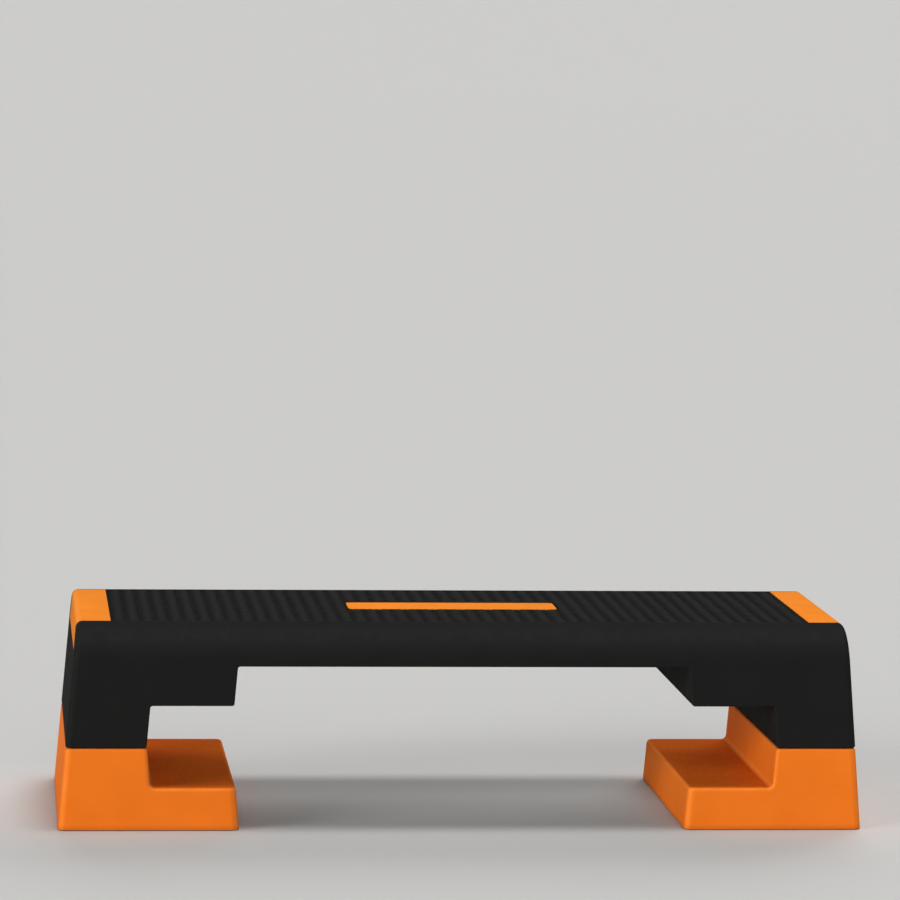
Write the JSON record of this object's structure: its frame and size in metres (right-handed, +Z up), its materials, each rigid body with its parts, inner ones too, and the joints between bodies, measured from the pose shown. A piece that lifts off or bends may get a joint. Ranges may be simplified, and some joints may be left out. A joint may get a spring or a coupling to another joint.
{
  "type": "aerobic step platform",
  "caption": "Low exercise step: a long black deck with a ridged tread and orange end strips, standing on stepped orange risers that lift off and turn round to change its height.",
  "frame": {"origin": "on the floor, under the middle of the platform", "axes": "+X along the length to the right as seen from the front, +Y to the back, +Z up"},
  "size_m": [0.98, 0.38, 0.25],
  "materials": {
    "black_plastic": "black moulded plastic with a fine satin grain",
    "tread_rubber": "black ridged rubber, dull",
    "orange_trim": "light orange moulded plastic, satin",
    "orange_plastic": "orange moulded plastic with a fine grain",
    "foot_rubber": "black rubber, dull"
  },
  "bodies": {
    "left_riser": {"left_riser": "orange_plastic", "left_riser_foot_back_inner": "foot_rubber", "left_riser_foot_back_outer": "foot_rubber", "left_riser_foot_front_inner": "foot_rubber", "left_riser_foot_front_outer": "foot_rubber"},
    "deck": {"centre_inlay": "orange_trim", "deck_shell": "black_plastic", "left_end_strip": "orange_trim", "left_leg_pad_back_inner": "foot_rubber", "left_leg_pad_back_outer": "foot_rubber", "left_leg_pad_front_inner": "foot_rubber", "left_leg_pad_front_outer": "foot_rubber", "right_end_strip": "orange_trim", "right_leg_pad_back_inner": "foot_rubber", "right_leg_pad_back_outer": "foot_rubber", "right_leg_pad_front_inner": "foot_rubber", "right_leg_pad_front_outer": "foot_rubber", "tread_mat": "tread_rubber"},
    "right_riser": {"right_riser": "orange_plastic", "right_riser_foot_back_inner": "foot_rubber", "right_riser_foot_back_outer": "foot_rubber", "right_riser_foot_front_inner": "foot_rubber", "right_riser_foot_front_outer": "foot_rubber"}
  },
  "joints": [
    {"name": "deck_lift", "type": "slide", "parent": "left_riser", "child": "deck", "axis": [0, 0, 1], "range_m": [0, 0.15]},
    {"name": "right_riser_release", "type": "slide", "parent": "deck", "child": "right_riser", "axis": [0, 0, -1], "range_m": [0, 0.15]}
  ],
  "couplings": [
    {"joint": "right_riser_release", "follows": "deck_lift", "ratio": 1}
  ]
}
